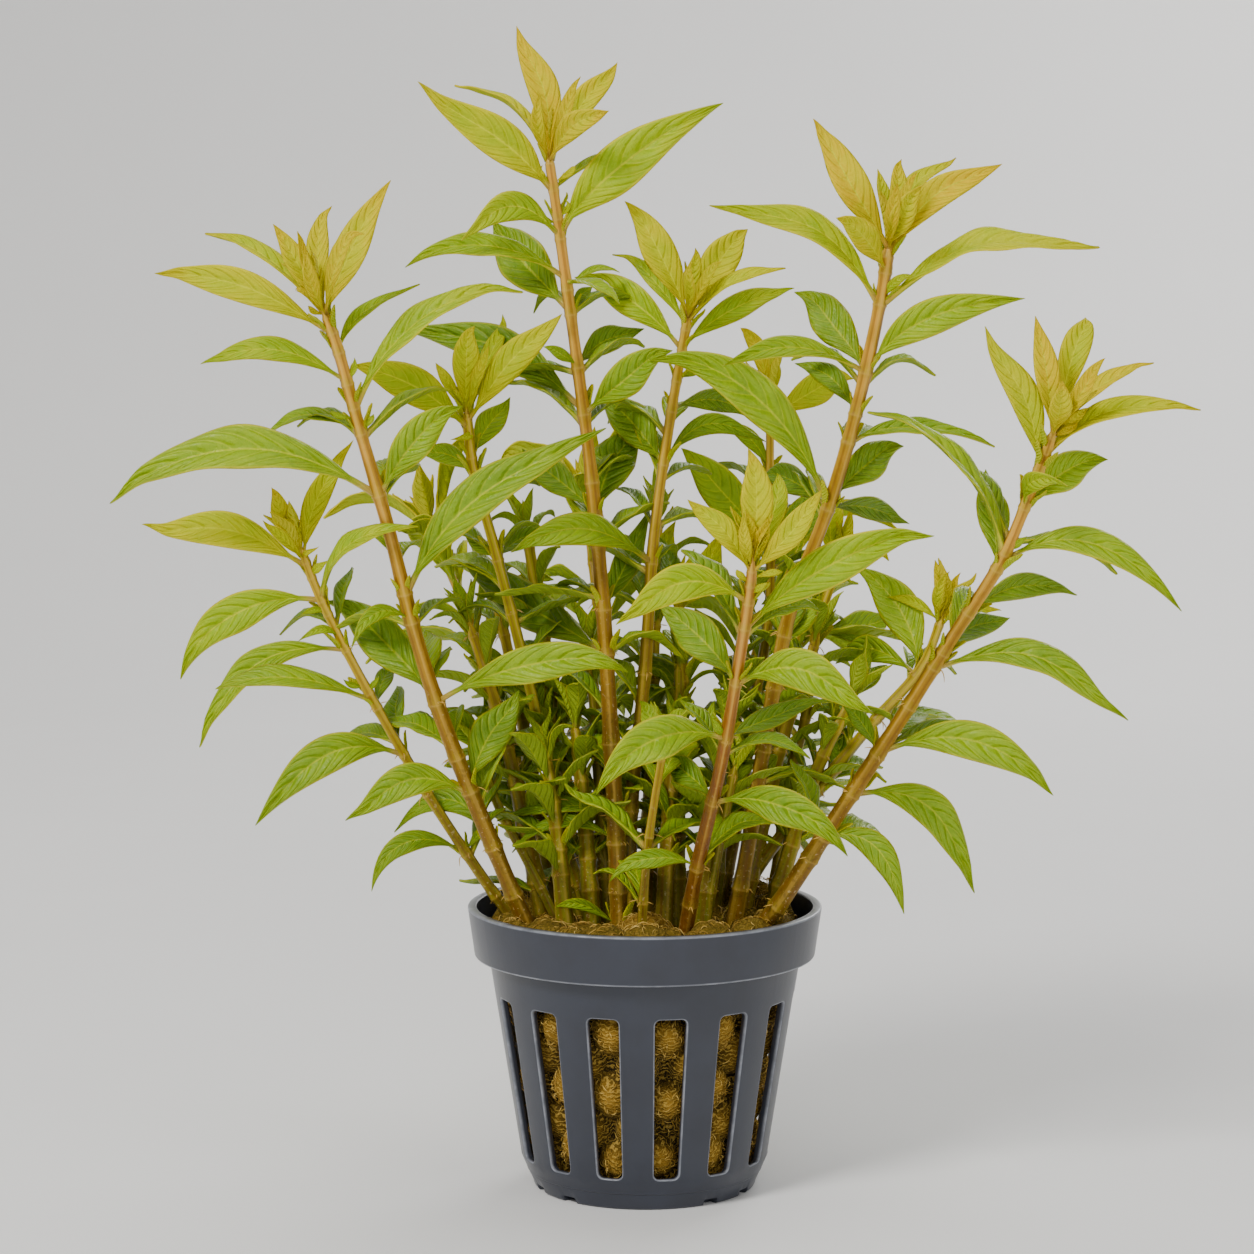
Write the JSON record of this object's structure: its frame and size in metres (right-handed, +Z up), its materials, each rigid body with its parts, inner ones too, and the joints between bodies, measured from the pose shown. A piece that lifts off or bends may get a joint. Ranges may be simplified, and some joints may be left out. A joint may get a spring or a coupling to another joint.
{
  "type": "potted aquarium stem plant",
  "caption": "Bunch of rooted leafy stems with golden crowns, standing in a wool plug in a slotted net pot; rests on its flat base.",
  "frame": {"origin": "centre of the pot's flat underside", "axes": "+Z up along the pot's axis; -Y towards the front of the bunch; +X to the right as seen from the front"},
  "size_m": [0.146, 0.0938, 0.1624],
  "materials": {
    "pot_plastic": "satin slate-grey moulded plastic",
    "growing_wool": "golden-brown fibrous wool",
    "stem": "smooth tan and olive stem with young yellow-green leaves",
    "leaf": "satin yellow-green leaf with pale veins",
    "rear_shoot": "satin mid-green shoot"
  },
  "bodies": {
    "root": {"back_stem": "stem", "far_left_leaf_1_left": "leaf", "far_left_leaf_2_left": "leaf", "far_left_leaf_3_left": "leaf", "far_left_leaf_5_left": "leaf", "far_left_stem": "stem", "far_right_leaf_1_right": "leaf", "far_right_leaf_2_right": "leaf", "far_right_leaf_3_right": "leaf", "far_right_leaf_5_right": "leaf", "far_right_leaf_6_right": "leaf", "far_right_leaf_7_right": "leaf", "far_right_stem": "stem", "front_leaf_1_left": "leaf", "front_leaf_2_right": "leaf", "front_leaf_3_right": "leaf", "front_leaf_4_left": "leaf", "front_leaf_5_right": "leaf", "front_stem": "stem", "green_stem": "stem", "inner_left_stem": "stem", "left_leaf_10_left": "leaf", "left_leaf_1_left": "leaf", "left_leaf_4_right": "leaf", "left_leaf_6_left": "leaf", "left_leaf_6_right": "leaf", "left_leaf_7_right": "leaf", "left_leaf_9_left": "leaf", "left_leaf_9_right": "leaf", "left_stem": "stem", "middle_leaf_1_left": "leaf", "middle_leaf_5_left": "leaf", "middle_stem": "stem", "net_pot": "pot_plastic", "olive_stem": "stem", "rear_left_shoot": "rear_shoot", "rear_right_shoot": "rear_shoot", "rear_shoot": "rear_shoot", "right_leaf_1_left": "leaf", "right_leaf_1_right": "leaf", "right_leaf_2_left": "leaf", "right_leaf_2_right": "leaf", "right_leaf_4_right": "leaf", "right_leaf_5_left": "leaf", "right_leaf_5_right": "leaf", "right_stem": "stem", "short_front_stem": "stem", "short_right_stem": "stem", "side_stem": "stem", "tall_leaf_1_left": "leaf", "tall_leaf_2_right": "leaf", "tall_leaf_3_left": "leaf", "tall_leaf_4_left": "leaf", "tall_leaf_6_left": "leaf", "tall_leaf_6_right": "leaf", "tall_stem": "stem", "thin_middle_stem": "stem", "thin_right_stem": "stem", "wool_plug": "growing_wool"}
  },
  "joints": []
}
